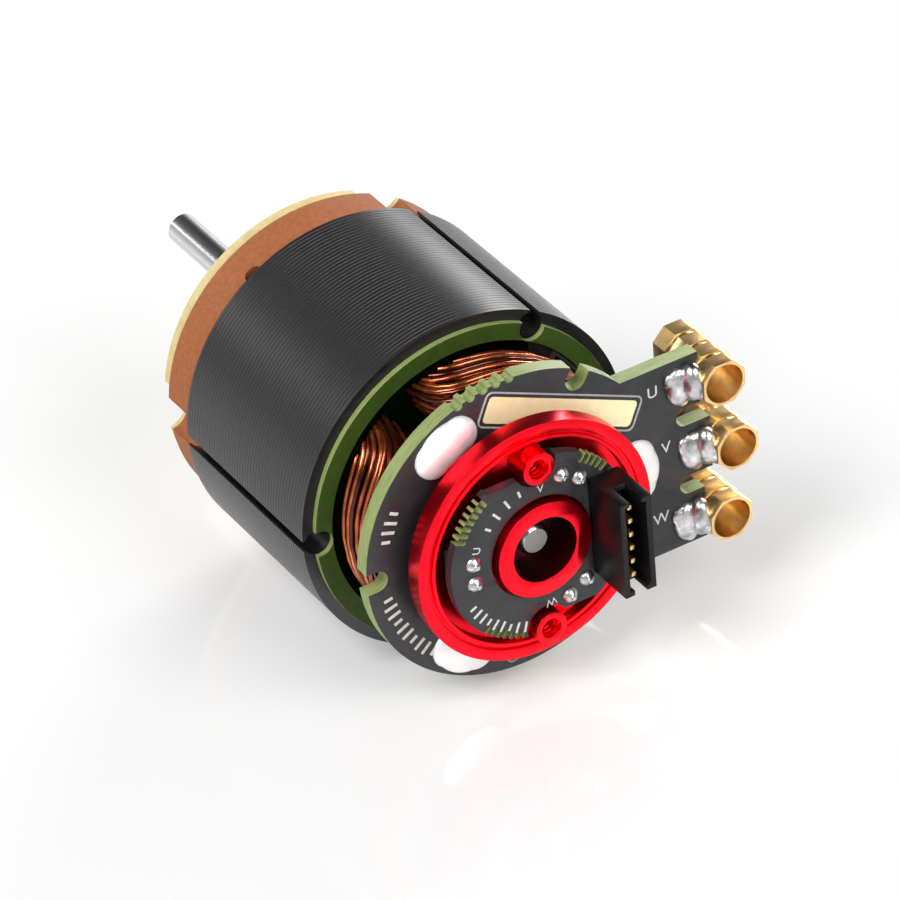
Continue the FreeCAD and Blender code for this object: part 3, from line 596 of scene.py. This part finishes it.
def loop_path(radius, tooth, sweep, rear, front, slant, lean, seed, wire):
    """One closed turn: along the slot, over the rear, back along the slot, over the front."""
    points = []
    steps = 56
    squareness = 0.34
    for step in range(steps + 1):
        even = 2 * math.pi * step / steps
        turn = even - 0.22 * math.sin(4 * even)
        across = math.copysign(abs(math.cos(turn)) ** squareness, math.cos(turn))
        along = math.copysign(abs(math.sin(turn)) ** squareness, math.sin(turn))
        ripple = noise.noise_vector(seed + Vector((math.cos(turn), math.sin(turn), 0)) * 1.3)
        end_part = max(0.0, along) ** 3
        depth = -along * (rear if along > 0 else front)
        depth -= end_part * (lean * across + 0.16 * ripple.y)
        out = radius + end_part * (slant * across + 0.22 * ripple.x)
        out = min(max(out, WINDING_INNER), COIL_OUTER - wire - 0.02)
        points.append(polar(out, tooth + sweep * across, max(depth, COIL_REAR + wire)))
    return points


def phase_leads(strands=5, steps=14, twist=0.5, spread_radius=0.68, wire=0.38):
    """Twisted winding ends, in dark sleeving, that rise to the board beside each solder dome."""
    place = high("phase_leads").x - 1.1
    start = COIL_REAR + 0.3
    rise = BOARD_FACE - 0.2 - start
    paths = []
    for angle in LEAD_ANGLES:
        for strand in range(strands):
            path = []
            for step in range(steps + 1):
                share = step / steps
                turn = 2 * math.pi * (strand / strands + share * twist)
                offset = Vector((math.cos(turn), 0, math.sin(turn))) * spread_radius * MM
                path.append(polar(place, angle, start + rise * share) + offset)
            paths.append(path)
    piece = tubes("phase_lead_bundles", paths, wire)
    show(piece, "stator", "black_sleeve", ["phase_leads"])


# ---------------------------------------------------------------------------- power board

def plate_from_outline(name, outline, y_top, y_bottom):
    """A flat plate from one convex outline in millimetres."""
    count = len(outline)
    points = [Vector((x, y_top, z)) * MM for x, z in outline]
    points += [Vector((x, y_bottom, z)) * MM for x, z in outline]
    faces = [tuple(range(count)), tuple(reversed(range(count, 2 * count)))]
    for index in range(count):
        after = (index + 1) % count
        faces.append((after, index, index + count, after + count))
    return from_lists(name, points, faces, 20)


def pad_corners(side, grow=0.0):
    """Corners of a gold pad: a long strip beside the sensor carrier."""
    near, far = 10.2 - grow, 12.9 + grow
    start, end = -7.6 - grow, 9.4 + grow
    turn = math.radians(65.5)
    out = (math.cos(turn), math.sin(turn))
    along = (math.sin(turn), -math.cos(turn))
    corners = [(near, start), (far, start), (far, end), (near, end)]
    return [(out[0] * a + along[0] * b, side * (out[1] * a + along[1] * b)) for a, b in corners]


def rounded(corners, radius, steps=5):
    """The same closed outline with each corner turned into a curve."""
    outline = []
    count = len(corners)
    for index, corner in enumerate(corners):
        here = Vector(corner)
        before = Vector(corners[index - 1])
        after = Vector(corners[(index + 1) % count])
        start = here + (before - here).normalized() * radius
        end = here + (after - here).normalized() * radius
        for step in range(steps + 1):
            share = step / steps
            outline.append(start.lerp(here, share).lerp(here.lerp(end, share), share))
    return outline


def board_print():
    """Gold pads and their pale outlines on the power board."""
    for side, label in ((1, "upper"), (-1, "lower")):
        pad = plate_from_outline(f"gold_pad_{label}", rounded(pad_corners(side), 0.5),
                                 BOARD_FACE - 0.05, BOARD_FACE + 0.02)
        show(pad, "stator", "gold_pad")
        loop = [Vector((x, BOARD_FACE - 0.02, z)) * MM
                for x, z in rounded(pad_corners(side, 0.42), 0.7)]
        border = tubes(f"pad_border_{label}", [loop + loop[:1]], 0.1, 6)
        show(border, "stator", "grey_print")


def letter(text, name, x, z, turn, size, y, body):
    """One letter laid flat on a board and read from the rear."""
    curve = bpy.data.curves.new(name, "FONT")
    curve.body = text
    curve.size = size * MM
    curve.extrude = 0.015 * MM
    curve.align_x = "CENTER"
    curve.align_y = "CENTER"
    writer = bpy.data.objects.new(name + "_curve", curve)
    mesh = bpy.data.meshes.new_from_object(writer)
    mesh.transform(placed((x, y, z), turn) @ Matrix.Rotation(math.radians(90), 4, "X"))
    bpy.data.objects.remove(writer)
    piece = make_object(name, mesh)
    return show(piece, body, "white_print")


def ticks(name, radius, angles, length, width, y, body):
    """A row of plain bars that point at the motor axis."""
    boxes = []
    for index, angle in enumerate(angles):
        half = length / 2 if index % 3 else length / 2 * 0.65
        centre = polar(radius, angle, y) / MM
        boxes.append((centre, (half, 0.02, width / 2), angle))
    return show(box_mesh(name, boxes), body, "white_print")


def phase_domes():
    """Three broad solder domes over the winding ends, coloured near-white as painted reflection of
    the pale floor.
    """
    for index, angle in enumerate(LEAD_ANGLES):
        centre = polar(13.4, angle, BOARD_FACE) / MM
        side = polar(13.3, angle + 7, BOARD_FACE) / MM
        other = polar(13.3, angle - 7, BOARD_FACE) / MM
        piece = lump(f"phase_dome_{index}", [
            (centre, (2.3, 1.1, 3.0), angle), (side, (2.1, 0.9, 1.9), angle),
            (other, (2.1, 0.9, 1.9), angle)], 0.14, 8, BOARD_FACE + 0.1)
        show(piece, "stator", "dome_solder_painted_reflection", ["phase_solder"] if index == 0 else [])


def socket_fillets():
    """Solder that climbs from each finger of the board on to the side of its socket."""
    for index, (name, centre) in enumerate(SOCKETS.items()):
        reach = SOCKET_RADIUS
        x = centre.x - reach
        parts = [
            ((x - 1.2, BOARD_FACE - 0.1, centre.z - 0.1), (1.5, 0.9, 2.1), 0),
            ((x - 0.1, BOARD_FACE - 0.7, centre.z + 0.3), (1.2, 1.3, 2.0), 0),
            ((x + 0.5, BOARD_FACE - 1.3, centre.z - 0.2), (0.9, 1.25, 1.4), 0),
            ((x - 2.0, BOARD_FACE - 0.05, centre.z + 0.7), (0.9, 0.55, 1.0), 0),
            ((x - 1.0, BOARD_FACE - 0.1, centre.z - 1.6), (0.7, 0.6, 0.8), 0)]
        piece = lump(f"socket_fillet_{index}", parts, 0.14, 5, BOARD_FACE + 0.1)
        keep_out = (reach - 0.25) * MM
        for vertex in piece.data.vertices:
            offset = Vector((vertex.co.x - centre.x * MM, 0, vertex.co.z - centre.z * MM))
            if offset.length < keep_out:
                offset.length = keep_out
                vertex.co.x = centre.x * MM + offset.x
                vertex.co.z = centre.z * MM + offset.z
        show(piece, "stator", "solder", ["socket_solder"] if index == 0 else [])


# -------------------------------------------------------------------------- sensor carrier

def leg_points():
    for angle in TOOTH_ANGLES:
        middle = polar(7.2, angle) / MM
        turn = math.radians(angle)
        for side in (-1.1, 1.1):
            yield middle.x - side * math.sin(turn), middle.z + side * math.cos(turn)


def sensor_joints():
    """Small solder cones with the cut tip of a leg in the middle."""
    top = SENSOR_FACE
    for index, (x, z) in enumerate(leg_points()):
        profile = [(0.82, top + 0.02), (0.78, top - 0.08), (0.66, top - 0.24), (0.5, top - 0.4),
                   (0.34, top - 0.52), (0.26, top - 0.58), (0.24, top - 0.72), (0.1, top - 0.78)]
        piece = lathe(f"sensor_joint_{index}", profile, (x, z), 24, 50)
        show(piece, "sensor_carrier", "solder", ["sensor_solder"] if index == 0 else [])


def boss_threads(pitch=0.45, radius=1.0, turns=6):
    """The crest line of the thread in each tapped boss."""
    top = low("bearing_carrier").y
    paths = []
    for side in (1, -1):
        path = []
        for step in range(24 * turns):
            turn = 2 * math.pi * step / 24
            y = top + 0.3 + pitch * step / 24
            z = side * BOSS_OFFSET + radius * math.sin(turn)
            path.append(Vector((radius * math.cos(turn), y, z)) * MM)
        paths.append(path)
    piece = tubes("boss_threads", paths, 0.1, 5)
    show(piece, "sensor_carrier", "red_anodised")


def sensor_print():
    """Plain ticks and phase letters on the sensor board."""
    y = SENSOR_FACE - PRINT_LIFT
    ticks("sensor_ticks_upper", 6.9, [106, 118, 130, 142], 1.1, 0.24, y, "sensor_carrier")
    ticks("sensor_ticks_lower", 8.5, [206 + 6 * step for step in range(9)], 1.1, 0.24, y,
          "sensor_carrier")
    for text, radius, angle in (("U", 7.2, 160), ("V", 6.3, 87), ("W", 6.6, 275)):
        spot = polar(radius, angle) / MM
        letter(text, f"sensor_letter_{text.lower()}", spot.x, spot.z, angle - 90, 1.15, y,
               "sensor_carrier")


# --------------------------------------------------------------------------------- staging

def studio_floor():
    """A pale glossy floor that glows a little, as a lit sheet under a product does."""
    size = 3.0
    drop = -STACK_RADIUS - 0.2
    corners = [(-size, -size), (size, -size), (size, size), (-size, size)]
    floor = from_lists("floor", [Vector((x, y, drop * MM)) for x, y in corners], [(0, 1, 2, 3)])
    white = new_material("floor_white", (0.62, 0.62, 0.62), roughness=0.12, specular=0.9)
    shader = shader_of(white)
    shader.inputs["Emission Color"].default_value = (1, 1, 1, 1)
    shader.inputs["Emission Strength"].default_value = 0.2
    cloud = add(white, "ShaderNodeTexNoise", {"Scale": 3.0})
    link(white, spread(white, cloud.outputs["Fac"], 0.08, 0.12), shader.inputs["Roughness"])
    floor.data.materials.append(white)


def direction(azimuth, elevation):
    """A unit vector from the origin: azimuth 0 is the sensor end, 90 is +X."""
    a, e = math.radians(azimuth), math.radians(elevation)
    return Vector((math.sin(a) * math.cos(e), -math.cos(a) * math.cos(e), math.sin(e)))


def soft_box(name, azimuth, elevation, distance, width, height, watts):
    """An area lamp that looks at the origin."""
    lamp = bpy.data.lights.new(name, "AREA")
    lamp.shape = "RECTANGLE"
    lamp.size, lamp.size_y, lamp.energy = width, height, watts
    holder = bpy.data.objects.new(name, lamp)
    bpy.context.scene.collection.objects.link(holder)
    away = direction(azimuth, elevation)
    holder.location = away * distance
    holder.rotation_euler = away.to_track_quat("Z", "Y").to_euler()


def studio_light():
    """Soft boxes, and a sky that is white at the horizon and dark overhead."""
    soft_box("key", -70, 48, 0.7, 0.35, 0.35, 5)
    soft_box("front_fill", 15, 40, 0.8, 0.5, 0.35, 4)
    soft_box("right_rim", 120, 20, 0.7, 0.4, 0.2, 4)
    soft_box("back_rim", 190, 15, 0.8, 0.6, 0.2, 3)
    world = bpy.data.worlds.new("studio")
    world.use_nodes = True
    nodes, links = world.node_tree.nodes, world.node_tree.links
    place = nodes.new("ShaderNodeTexCoord")
    split = nodes.new("ShaderNodeSeparateXYZ")
    fade = nodes.new("ShaderNodeValToRGB")
    elements = fade.color_ramp.elements
    elements.new(0.5)
    for element, (place_up, shade) in zip(elements, ((0.0, 0.8), (0.3, 0.28), (0.55, 0.03))):
        element.position = place_up
        element.color = (shade, shade, shade, 1)
    links.new(place.outputs["Generated"], split.inputs["Vector"])
    links.new(split.outputs["Z"], fade.inputs["Fac"])
    links.new(fade.outputs["Color"], nodes["Background"].inputs["Color"])
    bpy.context.scene.world = world
    bpy.context.scene.view_settings.view_transform = "Standard"


def camera(azimuth=-31.5, elevation=32.7, roll=5.0, distance=0.528, lens=223.7):
    """A lens turned about the motor axis by roll and aimed a little right of the stack."""
    back = direction(azimuth, elevation)
    right = direction(azimuth + 90, 0)
    up = back.cross(right)
    turn = Matrix.Rotation(math.radians(roll), 3, "Y")
    back, right, up = turn @ back, turn @ right, turn @ up
    aim = (right * 4.18 - up * 2.28) * MM
    data = bpy.data.cameras.new("camera")
    data.lens = lens
    data.sensor_width = 36
    holder = bpy.data.objects.new("camera", data)
    bpy.context.scene.collection.objects.link(holder)
    pose = Matrix((right, up, back)).transposed().to_4x4()
    pose.translation = aim + back * distance
    holder.matrix_world = pose
    bpy.context.scene.camera = holder


# ------------------------------------------------------------------------------- assembly

def stator_pieces():
    stator_stack()
    paint(refine("rear_insulator", "green_face", 0.05), "board_edge", rim)
    refine("front_frame", "phenolic", 0.18)
    refine("front_plate", "cream_laminate", 0.12)
    paint(refine("power_board", "solder_mask", 0.05), "board_edge", rim)
    for phase, tooth in zip("uvw", TOOTH_ANGLES):
        show(winding(phase, tooth), "stator", "copper_wire", [f"coil_{phase}"])
    phase_leads()
    board_print()
    phase_domes()
    socket_fillets()
    for name in SOCKETS:
        refine(name, "gold_plate", 0.1)
    y = BOARD_FACE - PRINT_LIFT
    for text, x, z in (("U", 15.5, 8.0), ("V", 16.6, 1.3), ("W", 15.6, -6.4)):
        letter(text, f"board_letter_{text.lower()}", x, z, 0, LETTER_SIZE, y, "stator")
    for place, start, count in (("upper", 152, 4), ("lower", 190, 10)):
        angles = [start + 4 * step for step in range(count)]
        ticks(f"board_ticks_{place}", 14.2, angles, 1.4, 0.32, y, "stator")


def carrier_pieces():
    paint(refine("bearing_carrier", "red_anodised", 0.1, 48), "bore_shadow", bore_wall)
    paint(refine("sensor_board", "solder_mask", 0.04), "board_edge", comb_wall)
    refine("connector_housing", "black_plastic", 0.08)
    refine("connector_pins", "gold_plate", 0.08)
    sensor_joints()
    boss_threads()
    sensor_print()


def carried_nodes():
    """Every CAD node that stays in view keeps its shape and gets its own material."""
    finishes = {"circuit_board": "solder_mask", "green_laminate": "green_face"}
    for name, item in frame["nodes"].items():
        slot = slot_of(name)
        item.data.materials.clear()
        item.data.materials.append(MATERIALS[finishes.get(slot, slot)])


carried_nodes()
camera()
studio_floor()
studio_light()
stator_pieces()
carrier_pieces()
paint(refine("rotor_shaft", "shaft_steel", 0.05), "sawn_steel", end_face)
